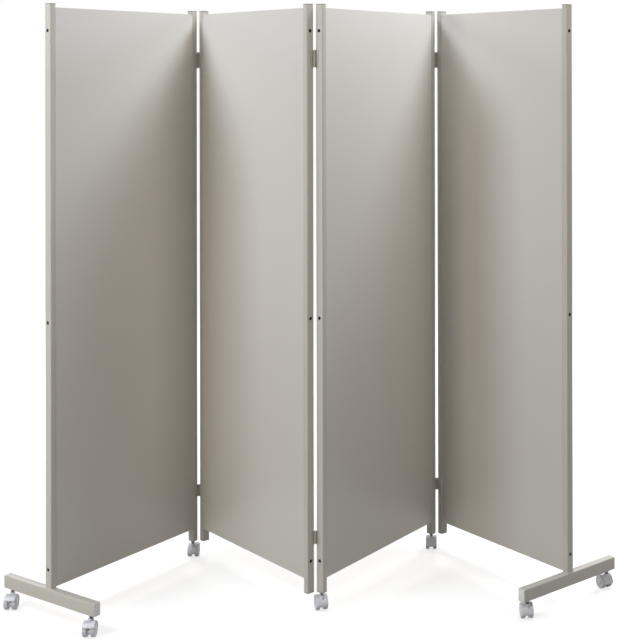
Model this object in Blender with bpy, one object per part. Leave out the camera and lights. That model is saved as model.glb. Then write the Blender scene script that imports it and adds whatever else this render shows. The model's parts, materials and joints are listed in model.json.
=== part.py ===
"""Folding partition screen: four boards between steel posts, three folds with two hinges each,
two feet and seven swivel casters. Metres, +Z up, the front of the screen towards -Y."""

import math

import bmesh
import bpy
from mathutils import Matrix

# Fits between pieces
SEAT_GAP = 0.0003
OVERRUN = 0.002
MERGE_DISTANCE = 0.00001

# Posts and feet, rectangular steel tubes with rounded edges
TUBE_CORNER = 0.003
POST_WIDTH = 0.020
POST_DEPTH = 0.025
POST_WALL = 0.0012
POST_END_PLATE = 0.0025
POST_RISE = 0.012
FOOT_LENGTH = 0.390
FOOT_WIDTH = 0.025
FOOT_HEIGHT = 0.038
FOOT_WALL = 0.0015
FOOT_CASTER_INSET = 0.024

# Boards between the posts
PANEL_WIDTH = 0.600
BOARD_HEIGHT = 1.690
BOARD_THICKNESS = 0.022
BOARD_OVER_FOOT = 0.003

# Screw holes: a wide one in the outer wall of a post, then a narrow one on into the board
SCREW_ABOVE_BOTTOM = 0.053
SCREW_BELOW_TOP = 0.068
MIDDLE_SCREW_SHARE = 0.456
SCREW_HOLE_RADIUS = 0.0022
SCREW_HOLE_DEPTH = 0.030
ACCESS_HOLE_RADIUS = 0.0050

# Plastic caps in the ends of the feet
CAP_FLANGE = 0.0025
CAP_INSERT = 0.012

# Casters, twin wheels under a hood that swivels on a stem
WHEEL_RADIUS = 0.020
WHEEL_WIDTH = 0.012
WHEEL_SHOULDER = 0.0025
WHEEL_HUB_WALL = 0.0035
WHEEL_SIDE_GAP = 0.0005
AXLE_RADIUS = 0.0020
CASTER_TRAIL = 0.013
HOOD_CLEARANCE = 0.0015
HOOD_WALL = 0.0030
HOOD_INSET = 0.0005
HOOD_EDGE_ROUND = 0.0024
HOOD_STEM_WALL = 0.0012
HOOD_WEB_RADIUS = 0.0140
BOSS_WALL = 0.0032
BOSS_RISE = 0.0025
STEM_RADIUS = 0.0040
STEM_IN_HOOD = 0.015
STEM_IN_TUBE = 0.026
STEM_END_ROOM = 0.0010
NECK_LENGTH = 0.0100
COLLAR_LIP = 0.0025
COLLAR_THICKNESS = 0.0040
HOOD_CLOSED_ANGLE = -8.0
HOOD_OPEN_ANGLE = 150.0

# Hinges, a leaf welded to each post and three knuckles on a loose pin
KNUCKLE_WALL = 0.0016
KNUCKLE_GAP = 0.0004
LEAF_THICKNESS = 0.0012
LEAF_WIDTH = 0.010
LEAF_EDGE = 0.0006
LEAF_END = 0.0005
LEAF_BRIDGE = 0.0018
PIN_RADIUS = 0.0015
PIN_HEAD_LIP = 0.0012
PIN_HEAD_HEIGHT = 0.0012
UPPER_HINGE_LENGTH = 0.051
LOWER_HINGE_LENGTH = 0.038
UPPER_HINGE_BELOW_TOP = 0.151
LOWER_HINGE_ABOVE_BOTTOM = 0.1215

# How the screen stands: the angle between the panels at each fold, in degrees
FOLD_ANGLES = (75.5, 75.5, 74.0)
PANEL_2_HEADING = -52.25

# Each caster's panel, its post (-1 left, 1 right), its place on the foot (-1 front, 1 back,
# 0 for none, under the post itself) and the way that its hood's closed side faces, in degrees
CASTERS = {
    "left_back": (1, -1, 1, 86.0),
    "left_front": (1, -1, -1, 86.0),
    "left_valley": (1, 1, 0, -94.0),
    "centre": (3, -1, 0, -76.0),
    "right_valley": (3, 1, 0, -94.0),
    "right_front": (4, 1, -1, -87.0),
    "right_back": (4, 1, 1, -64.0),
}

# Posts that stand on a foot, as panel and side
FOOT_POSTS = {"left_foot": (1, -1), "right_foot": (4, 1)}

# The face of the panels that each fold's pins lie on (-1 front, 1 back)
FOLD_FACES = {1: -1, 2: 1, 3: -1}

# Facets on round pieces
CORNER_STEPS = 2
HOLE_STEPS = 8
PIN_STEPS = 12
WHEEL_STEPS = 18
POCKET_STEPS = 20
HOOD_STEPS = 10
WEB_STEPS = 9
ROUND_STEPS = 2
SHARP_ANGLE = 35.0

# Sizes and heights that follow from the ones above
STEM_BORE = STEM_RADIUS + SEAT_GAP
WEB_WIDTH = 2 * (STEM_BORE + HOOD_STEM_WALL)
HOOD_RADIUS = WHEEL_RADIUS + HOOD_CLEARANCE + HOOD_WALL
HOOD_TOP = WHEEL_RADIUS + HOOD_RADIUS + BOSS_RISE
MOUNT_HEIGHT = HOOD_TOP + NECK_LENGTH
FOOT_TOP = MOUNT_HEIGHT + FOOT_HEIGHT
BOARD_BOTTOM = FOOT_TOP + BOARD_OVER_FOOT
BOARD_TOP = BOARD_BOTTOM + BOARD_HEIGHT
SCREEN_TOP = BOARD_TOP + POST_RISE
BOARD_WIDTH = PANEL_WIDTH - 2 * POST_WIDTH - 2 * SEAT_GAP
KNUCKLE_RADIUS = PIN_RADIUS + SEAT_GAP + KNUCKLE_WALL
HINGE_REACH = KNUCKLE_RADIUS + SEAT_GAP + LEAF_THICKNESS
FOLD_REACH = PANEL_WIDTH / 2 + HINGE_REACH
FOOT_CASTER_REACH = FOOT_LENGTH / 2 - FOOT_CASTER_INSET
SCREW_HEIGHTS = (
    BOARD_BOTTOM + SCREW_ABOVE_BOTTOM,
    BOARD_BOTTOM + BOARD_HEIGHT * MIDDLE_SCREW_SHARE,
    BOARD_TOP - SCREW_BELOW_TOP,
)
PANEL_HEADINGS = {
    1: PANEL_2_HEADING + 180 - FOLD_ANGLES[0],
    2: PANEL_2_HEADING,
    3: PANEL_2_HEADING + 180 - FOLD_ANGLES[1],
    4: PANEL_2_HEADING - FOLD_ANGLES[1] + FOLD_ANGLES[2],
}


def clear_scene():
    """Remove whatever the file opened with."""
    for thing in list(bpy.data.objects):
        bpy.data.objects.remove(thing, do_unlink=True)


def make_finish(name, colour, roughness, metallic):
    """A Principled material in one colour."""
    finish = bpy.data.materials.new(name)
    finish.use_nodes = True
    shader = finish.node_tree.nodes["Principled BSDF"]
    shader.inputs["Base Color"].default_value = (*colour, 1.0)
    shader.inputs["Roughness"].default_value = roughness
    shader.inputs["Metallic"].default_value = metallic
    return finish


def make_finishes():
    """Every finish of the screen, by the kind of piece that has it."""
    return {
        "board": make_finish("warm_grey_board", (0.60, 0.58, 0.54), 0.45, 0.0),
        "paint": make_finish("warm_grey_paint", (0.58, 0.56, 0.52), 0.40, 0.0),
        "cap": make_finish("pale_grey_cap", (0.62, 0.62, 0.60), 0.50, 0.0),
        "hood": make_finish("cool_grey_hood", (0.58, 0.57, 0.63), 0.40, 0.0),
        "wheel": make_finish("grey_wheel", (0.38, 0.38, 0.41), 0.55, 0.0),
        "steel": make_finish("plated_steel", (0.55, 0.55, 0.56), 0.30, 1.0),
    }


def finished_mesh(shape, name):
    """Turn a bmesh into a smooth mesh with sharp edges, its faces pointing outwards."""
    bmesh.ops.recalc_face_normals(shape, faces=shape.faces)
    mesh = bpy.data.meshes.new(name)
    shape.to_mesh(mesh)
    shape.free()
    mesh.shade_smooth()
    mesh.set_sharp_from_angle(angle=math.radians(SHARP_ANGLE))
    return mesh


def around_circle(radius, steps, clearance=0.0):
    """Corner radius of a polygon whose flats lie the clearance outside a circle."""
    return (radius + clearance) / math.cos(math.pi / steps)


def rounded_outline(width, depth, corner):
    """Corners of a rectangle with rounded edges, centred on the origin."""
    points = []
    for turn, (side_x, side_y) in enumerate(((1, 1), (-1, 1), (-1, -1), (1, -1))):
        centre_x = side_x * (width / 2 - corner)
        centre_y = side_y * (depth / 2 - corner)
        for step in range(CORNER_STEPS + 1):
            angle = (turn + step / CORNER_STEPS) * math.pi / 2
            points.append((centre_x + corner * math.cos(angle), centre_y + corner * math.sin(angle)))
    return points


def raise_faces(shape, faces, height):
    """Pull flat faces up into a solid."""
    raised = bmesh.ops.extrude_face_region(shape, geom=faces)
    corners = [item for item in raised["geom"] if isinstance(item, bmesh.types.BMVert)]
    bmesh.ops.translate(shape, verts=corners, vec=(0, 0, height))


def prism(name, outline, low, high):
    """An outline in the XY plane pulled up from one height to another."""
    shape = bmesh.new()
    base = shape.faces.new([shape.verts.new((x, y, low)) for x, y in outline])
    raise_faces(shape, [base], high - low)
    return finished_mesh(shape, name)


def block(name, corner, opposite):
    """A box between two opposite corners."""
    low_x, high_x = sorted((corner[0], opposite[0]))
    low_y, high_y = sorted((corner[1], opposite[1]))
    outline = [(low_x, low_y), (high_x, low_y), (high_x, high_y), (low_x, high_y)]
    return prism(name, outline, corner[2], opposite[2])


def tube(name, width, depth, wall, length):
    """A rectangular tube with rounded edges, standing on the XY plane."""
    shape = bmesh.new()
    edges = []
    for thickness in (0, wall):
        corner = max(TUBE_CORNER - thickness, TUBE_CORNER / 2)
        outline = rounded_outline(width - 2 * thickness, depth - 2 * thickness, corner)
        ring = [shape.verts.new((x, y, 0)) for x, y in outline]
        edges += [shape.edges.new((ring[i - 1], ring[i])) for i in range(len(ring))]
    end = bmesh.ops.bridge_loops(shape, edges=edges)["faces"]
    raise_faces(shape, end, length)
    return finished_mesh(shape, name)


def turned(name, profile, steps, closed=False):
    """Radius and height pairs spun about Z, with one flat of the round facing -Y."""
    shape = bmesh.new()
    angle = math.pi / steps - math.pi / 2
    points = [shape.verts.new((r * math.cos(angle), r * math.sin(angle), z)) for r, z in profile]
    pairs = list(zip(points, points[1:]))
    if closed:
        pairs.append((points[-1], points[0]))
    edges = [shape.edges.new(pair) for pair in pairs]
    bmesh.ops.spin(
        shape,
        geom=points + edges,
        cent=(0, 0, 0),
        axis=(0, 0, 1),
        angle=2 * math.pi,
        steps=steps,
    )
    bmesh.ops.remove_doubles(shape, verts=shape.verts, dist=MERGE_DISTANCE)
    return finished_mesh(shape, name)


def rod(name, radius, low, high, steps):
    """A plain round bar along Z."""
    return turned(name, [(0, low), (radius, low), (radius, high), (0, high)], steps)


def gathered(name, placed):
    """One mesh of several placed meshes, which stay separate solids."""
    shape = bmesh.new()
    for mesh, place in placed:
        copy = mesh.copy()
        copy.transform(place)
        shape.from_mesh(copy)
    return finished_mesh(shape, name)


def combined(name, mesh, operation, others):
    """The mesh joined with, or cut by, each of the other meshes in turn."""
    body = bpy.data.objects.new(name, mesh)
    bpy.context.collection.objects.link(body)
    helpers = []
    for other in others:
        helper = bpy.data.objects.new(f"{name}_helper", other)
        helper.hide_render = True
        helper.display_type = "WIRE"
        bpy.context.collection.objects.link(helper)
        step = body.modifiers.new(operation.title(), "BOOLEAN")
        step.operation = operation
        step.solver = "EXACT"
        step.object = helper
        helpers.append(helper)
    bpy.context.view_layer.update()
    evaluated = body.evaluated_get(bpy.context.evaluated_depsgraph_get())
    result = bpy.data.meshes.new_from_object(evaluated)
    result.name = name
    result.shade_smooth()
    result.set_sharp_from_angle(angle=math.radians(SHARP_ANGLE))
    for thing in [body, *helpers]:
        bpy.data.objects.remove(thing, do_unlink=True)
    return result


def along(axis, x=0, y=0, z=0):
    """Place a mesh that was made along Z so that it points another way."""
    turns = {
        "+X": Matrix.Rotation(math.pi / 2, 4, "Y"),
        "-X": Matrix.Rotation(-math.pi / 2, 4, "Y"),
        "+Y": Matrix.Rotation(-math.pi / 2, 4, "X"),
        "-Y": Matrix.Rotation(math.pi / 2, 4, "X"),
        "+Z": Matrix.Identity(4),
        "-Z": Matrix.Rotation(math.pi, 4, "X"),
    }
    return Matrix.Translation((x, y, z)) @ turns[axis]


def add_empty(name, parent, location, degrees=0.0):
    """The place of a joint, which carries whatever turns about it."""
    empty = bpy.data.objects.new(name, None)
    empty.location = location
    empty.rotation_euler = (0, 0, math.radians(degrees))
    empty.parent = parent
    bpy.context.collection.objects.link(empty)
    return empty


def add_piece(name, mesh, finish, parent, location=(0, 0, 0), degrees=0.0):
    """One solid under its parent."""
    if not mesh.materials:
        mesh.materials.append(finish)
    piece = bpy.data.objects.new(name, mesh)
    piece.location = location
    piece.rotation_euler = (0, 0, math.radians(degrees))
    piece.parent = parent
    bpy.context.collection.objects.link(piece)
    return piece


def post_place(side):
    """Distance from a panel's middle to the middle of its left (-1) or right (1) post."""
    return side * (PANEL_WIDTH - POST_WIDTH) / 2


def screw_holes(side, start):
    """The screw holes of one post and its board edge, towards the middle of the panel."""
    place_x = "-X" if side > 0 else "+X"
    radius = around_circle(SCREW_HOLE_RADIUS, HOLE_STEPS)
    hole = rod("screw_hole", radius, 0, SCREW_HOLE_DEPTH, HOLE_STEPS)
    return [(hole, along(place_x, x=side * start, z=height)) for height in SCREW_HEIGHTS]


def make_post_mesh(number, side):
    """A post about its own middle: a closed tube with its screw holes and its welded leaves."""
    stands = (number, side) in FOOT_POSTS.values()
    bottom = FOOT_TOP + SEAT_GAP if stands else MOUNT_HEIGHT
    cavity_low = bottom - OVERRUN if stands else bottom + POST_END_PLATE
    cavity_corner = max(TUBE_CORNER - POST_WALL, TUBE_CORNER / 2)
    outer = rounded_outline(POST_WIDTH, POST_DEPTH, TUBE_CORNER)
    inner = rounded_outline(POST_WIDTH - 2 * POST_WALL, POST_DEPTH - 2 * POST_WALL, cavity_corner)
    post = prism("post", outer, bottom, SCREEN_TOP)
    cavity = prism("cavity", inner, cavity_low, SCREEN_TOP - POST_END_PLATE)
    access = rod("access", ACCESS_HOLE_RADIUS, 0, POST_WIDTH / 2 + OVERRUN, HOLE_STEPS)
    outwards = "+X" if side > 0 else "-X"
    holes = [(access, along(outwards, z=height)) for height in SCREW_HEIGHTS]
    holes += screw_holes(side, -POST_WIDTH / 4)
    cutters = [cavity, gathered("screw_holes", holes)]
    if any(spot[:3] == (number, side, 0) for spot in CASTERS.values()):
        bore_low = bottom - OVERRUN
        bore_high = bottom + POST_END_PLATE + OVERRUN
        bore_radius = around_circle(STEM_BORE, PIN_STEPS)
        cutters.append(rod("stem_bore", bore_radius, bore_low, bore_high, PIN_STEPS))
    post = combined("post", post, "DIFFERENCE", cutters)
    fold = number if side > 0 else number - 1
    if fold not in FOLD_FACES:
        return post
    return combined("post", post, "UNION", make_leaves(side, FOLD_FACES[fold]))


def make_board_mesh():
    """A board about the middle of its panel, with the screw holes in its two upright edges."""
    edge = BOARD_WIDTH / 2
    face = BOARD_THICKNESS / 2
    board = block("board", (-edge, -face, BOARD_BOTTOM), (edge, face, BOARD_TOP))
    holes = screw_holes(-1, edge + OVERRUN) + screw_holes(1, edge + OVERRUN)
    return combined("board", board, "DIFFERENCE", [gathered("screw_holes", holes)])


def make_cap_mesh():
    """A foot's end cap: its flange stands on the XY plane and its insert goes up into the tube."""
    flange = prism("cap", rounded_outline(FOOT_WIDTH, FOOT_HEIGHT, TUBE_CORNER), 0, CAP_FLANGE)
    inner_width = FOOT_WIDTH - 2 * FOOT_WALL - 2 * SEAT_GAP
    inner_height = FOOT_HEIGHT - 2 * FOOT_WALL - 2 * SEAT_GAP
    outline = rounded_outline(inner_width, inner_height, TUBE_CORNER / 2)
    insert = prism("insert", outline, CAP_FLANGE / 2, CAP_FLANGE + CAP_INSERT)
    return combined("cap", flange, "UNION", [insert])


def make_foot_mesh():
    """A foot's tube along Y, centred on its post, with a hole below for each stem."""
    length = FOOT_LENGTH - 2 * CAP_FLANGE - 2 * SEAT_GAP
    body = tube("foot", FOOT_WIDTH, FOOT_HEIGHT, FOOT_WALL, length)
    body.transform(along("-Y", y=length / 2))
    below = -FOOT_HEIGHT / 2 - OVERRUN
    hole = rod("hole", around_circle(STEM_BORE, PIN_STEPS), below, 0, PIN_STEPS)
    holes = [(hole, Matrix.Translation((0, side * FOOT_CASTER_REACH, 0))) for side in (-1, 1)]
    return combined("foot", body, "DIFFERENCE", [gathered("stem_holes", holes)])


def caster_place(side, reach):
    """A caster's place from the middle of its panel."""
    return (post_place(side), reach * FOOT_CASTER_REACH)


def make_stem_mesh():
    """A caster's stem at its height over the floor, with a collar under the tube."""
    low = HOOD_TOP - STEM_IN_HOOD
    collar_high = MOUNT_HEIGHT - SEAT_GAP
    collar_low = collar_high - COLLAR_THICKNESS
    collar_radius = STEM_RADIUS + COLLAR_LIP
    top = MOUNT_HEIGHT + STEM_IN_TUBE
    profile = [
        (0, low),
        (STEM_RADIUS, low),
        (STEM_RADIUS, collar_low),
        (collar_radius, collar_low),
        (collar_radius, collar_high),
        (STEM_RADIUS, collar_high),
        (STEM_RADIUS, top),
        (0, top),
    ]
    return turned("stem", profile, PIN_STEPS)


def arc(radius, start, end, steps):
    """Points of an arc round the origin, its angles in degrees."""
    angles = [math.radians(start + (end - start) * step / steps) for step in range(steps + 1)]
    return [(radius * math.cos(angle), radius * math.sin(angle)) for angle in angles]


def hood_outline():
    """A hood from the side: over the wheels, then back below the axle round the middle web."""
    over = arc(HOOD_RADIUS, HOOD_CLOSED_ANGLE, HOOD_OPEN_ANGLE, HOOD_STEPS)
    below = arc(HOOD_WEB_RADIUS, HOOD_OPEN_ANGLE, HOOD_CLOSED_ANGLE + 360, WEB_STEPS)
    return over + below


def round_rims(shell):
    """Round the two rims of a hood, where its top curves over into its sides."""
    shape = bmesh.new()
    shape.from_mesh(shell)
    rims = []
    for edge in shape.edges:
        first, last = (corner.co for corner in edge.verts)
        on_top = min(first.xy.length, last.xy.length) > (HOOD_RADIUS + HOOD_WEB_RADIUS) / 2
        if on_top and first.z == last.z:
            rims.append(edge)
    bmesh.ops.bevel(
        shape,
        geom=rims,
        offset=HOOD_EDGE_ROUND,
        segments=ROUND_STEPS,
        profile=0.5,
        affect="EDGES",
        clamp_overlap=True,
    )
    return finished_mesh(shape, "hood")


def make_hood_mesh():
    """The hood over both wheels, centred on the axle, with its closed side and its stem at +X."""
    half_width = WEB_WIDTH / 2 + WHEEL_SIDE_GAP + WHEEL_WIDTH - HOOD_INSET
    shell = round_rims(prism("hood", hood_outline(), -half_width, half_width))
    shell.transform(along("-Y"))
    over_stem = Matrix.Translation((CASTER_TRAIL, 0, 0))
    top = HOOD_TOP - WHEEL_RADIUS
    boss = rod("boss", STEM_BORE + BOSS_WALL, HOOD_WEB_RADIUS, top, PIN_STEPS)
    boss.transform(over_stem)
    pocket_radius = around_circle(WHEEL_RADIUS, POCKET_STEPS, HOOD_CLEARANCE)
    pocket = rod("pocket", pocket_radius, WEB_WIDTH / 2, half_width + OVERRUN, POCKET_STEPS)
    pockets = gathered("pockets", [(pocket, along("+Y")), (pocket, along("-Y"))])
    stem_hole = around_circle(STEM_BORE, PIN_STEPS)
    stem_end = top - STEM_IN_HOOD - STEM_END_ROOM
    stem_bore = rod("stem_bore", stem_hole, stem_end, top + OVERRUN, PIN_STEPS)
    stem_bore.transform(over_stem)
    axle_hole = around_circle(AXLE_RADIUS, PIN_STEPS, SEAT_GAP)
    axle_bore = rod("axle_bore", axle_hole, -WEB_WIDTH, WEB_WIDTH, PIN_STEPS)
    axle_bore.transform(along("+Y"))
    joined = combined("hood", shell, "UNION", [boss])
    opened = combined("hood", joined, "DIFFERENCE", [pockets])
    return combined("hood", opened, "DIFFERENCE", [stem_bore, axle_bore])


def make_wheel_mesh():
    """A wheel along Z, centred in X and Y on its axle, with a blind bore on its inner side."""
    near = WEB_WIDTH / 2 + WHEEL_SIDE_GAP
    far = near + WHEEL_WIDTH
    bore_end = far - WHEEL_HUB_WALL
    bore = around_circle(AXLE_RADIUS, WHEEL_STEPS, SEAT_GAP)
    rim = around_circle(WHEEL_RADIUS, WHEEL_STEPS)
    profile = [
        (0, bore_end),
        (bore, bore_end),
        (bore, near),
        (rim, near),
        (rim, far - WHEEL_SHOULDER),
        (rim - WHEEL_SHOULDER, far),
        (0, far),
    ]
    return turned("wheel", profile, WHEEL_STEPS)


def make_axle_mesh():
    """The steel pin that both wheels are pressed on."""
    end = WEB_WIDTH / 2 + WHEEL_SIDE_GAP + WHEEL_WIDTH - WHEEL_HUB_WALL - SEAT_GAP
    axle = rod("axle", AXLE_RADIUS, -end, end, PIN_STEPS)
    axle.transform(along("+Y"))
    return axle


def hinge_places():
    """Height and length of the upper and the lower hinge of a fold."""
    upper = BOARD_TOP - UPPER_HINGE_BELOW_TOP
    lower = BOARD_BOTTOM + LOWER_HINGE_ABOVE_BOTTOM
    return {"upper": (upper, UPPER_HINGE_LENGTH), "lower": (lower, LOWER_HINGE_LENGTH)}


def knuckle_spans(length, outer):
    """Low and high end of a leaf's knuckles: the two outer ones, or the middle one."""
    knuckle = (length - 2 * KNUCKLE_GAP) / 3
    if outer:
        return ((-length / 2, knuckle - length / 2), (length / 2 - knuckle, length / 2))
    return ((-knuckle / 2, knuckle / 2),)


def make_leaf_pieces(length, side, face):
    """A hinge leaf's plate, bridges and knuckles about its pin, for a post that lies towards
    X times side; the plate runs along the post's end, from the panel's face that has the pin."""
    back = -face
    pin_face = side * (KNUCKLE_RADIUS + SEAT_GAP)
    in_post = side * (HINGE_REACH + POST_WALL / 2)
    plate_end = length / 2 + LEAF_END
    far_edge = back * (LEAF_EDGE + LEAF_WIDTH)
    pieces = [block("leaf", (pin_face, back * LEAF_EDGE, -plate_end), (in_post, far_edge, plate_end))]
    bore = around_circle(PIN_RADIUS, PIN_STEPS, SEAT_GAP)
    root = side * (PIN_RADIUS + SEAT_GAP + KNUCKLE_WALL / 3)
    plate_middle = side * (KNUCKLE_RADIUS + SEAT_GAP + LEAF_THICKNESS / 2)
    bridge_back = back * (LEAF_EDGE + LEAF_BRIDGE)
    bridge_front = back * LEAF_EDGE * 2
    for low, high in knuckle_spans(length, side < 0):
        bridge_low = (root, bridge_front, low + LEAF_END)
        bridge_high = (plate_middle, bridge_back, high - LEAF_END)
        pieces.append(block("bridge", bridge_low, bridge_high))
        ring = [(bore, low), (KNUCKLE_RADIUS, low), (KNUCKLE_RADIUS, high), (bore, high)]
        pieces.append(turned("knuckle", ring, PIN_STEPS, closed=True))
    return pieces


def make_leaves(side, face):
    """The pieces of the upper and the lower leaf on a post, about the post's middle."""
    pin_x = side * (POST_WIDTH / 2 + HINGE_REACH)
    pin_y = face * POST_DEPTH / 2
    pieces = []
    for height, length in hinge_places().values():
        for piece in make_leaf_pieces(length, -side, face):
            piece.transform(Matrix.Translation((pin_x, pin_y, height)))
            pieces.append(piece)
    return pieces


def make_pin_mesh(length):
    """A hinge pin about the middle of its hinge, with its head on top."""
    head = length / 2 + SEAT_GAP
    head_radius = PIN_RADIUS + PIN_HEAD_LIP
    profile = [
        (0, -length / 2),
        (PIN_RADIUS, -length / 2),
        (PIN_RADIUS, head),
        (head_radius, head),
        (head_radius, head + PIN_HEAD_HEIGHT),
        (0, head + PIN_HEAD_HEIGHT),
    ]
    return turned("pin", profile, PIN_STEPS)


def add_panel_frames(screen):
    """An empty for each panel on the fold that it turns about, with the panel's middle from it."""
    turn_1, turn_2, turn_3 = (180 - angle for angle in FOLD_ANGLES)
    face = POST_DEPTH / 2
    panel_2 = add_empty("panel_2_middle", screen, (0, 0, 0), PANEL_2_HEADING)
    fold_1 = add_empty("fold_1_axis", panel_2, (-FOLD_REACH, -face, 0), turn_1)
    fold_2 = add_empty("fold_2_axis", panel_2, (FOLD_REACH, face, 0), turn_2)
    fold_3 = add_empty("fold_3_axis", fold_2, (2 * FOLD_REACH, -POST_DEPTH, 0), -turn_3)
    return {
        1: (fold_1, (-FOLD_REACH, face)),
        2: (panel_2, (0, 0)),
        3: (fold_2, (FOLD_REACH, -face)),
        4: (fold_3, (FOLD_REACH, face)),
    }


def add_boards_and_posts(frames, finishes):
    """The board and the two posts of every panel."""
    board = make_board_mesh()
    for number, (frame, (x, y)) in frames.items():
        add_piece(f"panel_{number}_board", board, finishes["board"], frame, (x, y, 0))
        for side, word in ((-1, "left"), (1, "right")):
            post = make_post_mesh(number, side)
            place = (x + post_place(side), y, 0)
            add_piece(f"panel_{number}_{word}_post", post, finishes["paint"], frame, place)


def add_feet(frames, finishes):
    """A foot under each outer post, with its two end caps."""
    foot = make_foot_mesh()
    front_cap = make_cap_mesh()
    front_cap.transform(along("+Y", y=-FOOT_LENGTH / 2))
    back_cap = make_cap_mesh()
    back_cap.transform(along("-Y", y=FOOT_LENGTH / 2))
    for name, (number, side) in FOOT_POSTS.items():
        frame, (x, y) = frames[number]
        place = (x + post_place(side), y, MOUNT_HEIGHT + FOOT_HEIGHT / 2)
        add_piece(f"{name}_bar", foot, finishes["paint"], frame, place)
        add_piece(f"{name}_front_cap", front_cap, finishes["cap"], frame, place)
        add_piece(f"{name}_back_cap", back_cap, finishes["cap"], frame, place)


def add_hinge_pins(frames, finishes):
    """The two pins of each fold, which stay with the panel on the left."""
    for fold, face in FOLD_FACES.items():
        frame, (x, y) = frames[fold]
        for word, (height, length) in hinge_places().items():
            pin = make_pin_mesh(length)
            place = (x + FOLD_REACH, y + face * POST_DEPTH / 2, height)
            add_piece(f"fold_{fold}_{word}_hinge_pin", pin, finishes["steel"], frame, place)


def add_casters(frames, finishes):
    """Each caster: its stem in the tube, its hood on the swivel and its wheels on their axle."""
    stem = make_stem_mesh()
    hood = make_hood_mesh()
    axle = make_axle_mesh()
    left_wheel = make_wheel_mesh()
    left_wheel.transform(along("+Y"))
    right_wheel = make_wheel_mesh()
    right_wheel.transform(along("-Y"))
    for name, (number, side, reach, heading) in CASTERS.items():
        frame, (x, y) = frames[number]
        out_x, out_y = caster_place(side, reach)
        place = (x + out_x, y + out_y, 0)
        add_piece(f"{name}_caster_stem", stem, finishes["steel"], frame, place)
        swivel = add_empty(f"{name}_swivel_axis", frame, place, heading - PANEL_HEADINGS[number])
        centre = (-CASTER_TRAIL, 0, WHEEL_RADIUS)
        add_piece(f"{name}_caster_hood", hood, finishes["hood"], swivel, centre)
        roll = add_empty(f"{name}_roll_axis", swivel, centre)
        add_piece(f"{name}_caster_axle", axle, finishes["steel"], roll)
        add_piece(f"{name}_caster_left_wheel", left_wheel, finishes["wheel"], roll)
        add_piece(f"{name}_caster_right_wheel", right_wheel, finishes["wheel"], roll)


def centre_on_floor(screen):
    """Move the whole screen so that the middle of its ground plan is at the origin."""
    bpy.context.view_layer.update()
    corners = []
    for piece in bpy.data.objects:
        if piece.type == "MESH":
            corners += [piece.matrix_world @ vertex.co for vertex in piece.data.vertices]
    for axis in (0, 1):
        values = [corner[axis] for corner in corners]
        screen.location[axis] = -(min(values) + max(values)) / 2


def build_screen():
    """Put the whole screen together."""
    clear_scene()
    finishes = make_finishes()
    screen = add_empty("partition_screen", None, (0, 0, 0))
    frames = add_panel_frames(screen)
    add_boards_and_posts(frames, finishes)
    add_feet(frames, finishes)
    add_hinge_pins(frames, finishes)
    add_casters(frames, finishes)
    centre_on_floor(screen)


build_screen()
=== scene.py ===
import json
import math

import bmesh
import bpy
from mathutils import Matrix, Vector


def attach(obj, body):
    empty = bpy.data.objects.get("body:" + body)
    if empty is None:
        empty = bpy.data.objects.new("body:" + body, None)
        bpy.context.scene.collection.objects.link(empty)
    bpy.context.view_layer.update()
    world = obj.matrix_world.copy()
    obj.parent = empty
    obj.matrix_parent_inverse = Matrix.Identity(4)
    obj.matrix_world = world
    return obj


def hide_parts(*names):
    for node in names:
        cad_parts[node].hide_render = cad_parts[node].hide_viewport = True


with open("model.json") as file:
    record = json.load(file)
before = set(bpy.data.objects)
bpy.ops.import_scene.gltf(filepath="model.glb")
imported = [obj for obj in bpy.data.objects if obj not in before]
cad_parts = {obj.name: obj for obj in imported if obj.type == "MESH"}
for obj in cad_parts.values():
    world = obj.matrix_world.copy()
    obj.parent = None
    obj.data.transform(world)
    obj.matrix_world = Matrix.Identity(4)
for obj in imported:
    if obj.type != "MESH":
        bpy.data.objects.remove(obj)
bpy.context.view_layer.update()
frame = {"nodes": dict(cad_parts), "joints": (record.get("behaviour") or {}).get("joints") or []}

scene = bpy.context.scene
scene.view_settings.view_transform = "Standard"


# Camera
# At eye height and level, as for a catalogue: the uprights stay parallel, and the picture is
# taken from the upper right part of the lens's field.
lens = bpy.data.cameras.new("catalogue_lens")
lens.lens = 72.307
lens.shift_x = -0.2216
lens.shift_y = -0.3916
camera = bpy.data.objects.new("catalogue_camera", lens)
camera.location = (0.0985, -4.0103, 1.5952)
camera.rotation_euler = [math.radians(angle) for angle in (90.142, 0.111, -4.626)]
scene.collection.objects.link(camera)
scene.camera = camera


# Studio
# A white floor that runs out to a white background, with square soft boxes hung high on all
# sides of the screen and one standing low at the left, and a little light from the white room.
FLOOR_SIZE = 60.0
FLOOR_DROP = 0.0005
FLOOR_GREY = 0.42
NEAR_GLOW = 0.72
FAR_GLOW = 1.0
NEAR_REACH = 1.0
FAR_REACH = 3.2
ROOM_LIGHT = 0.05
BOX_SIZE = 0.9
SCREEN_MIDDLE = (0.0, 0.0, 0.9)
SOFT_BOXES = {
    "left_box": ((-2.4, -1.2, 3.3), 72.0, (0.83, 0.89, 1.0)),
    "low_left_box": ((-2.8, -2.8, 0.8), 43.0, (1.0, 0.94, 0.80)),
    "right_box": ((2.0, -2.0, 3.3), 31.5, (1.0, 0.93, 0.80)),
    "top_box": ((1.2, 0.0, 3.3), 49.0, (0.83, 0.89, 1.0)),
    "rear_left_box": ((-2.2, 3.0, 2.8), 62.0, (1.0, 0.98, 0.95)),
    "rear_right_box": ((2.2, 3.0, 2.8), 62.0, (1.0, 0.98, 0.95)),
}


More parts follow.
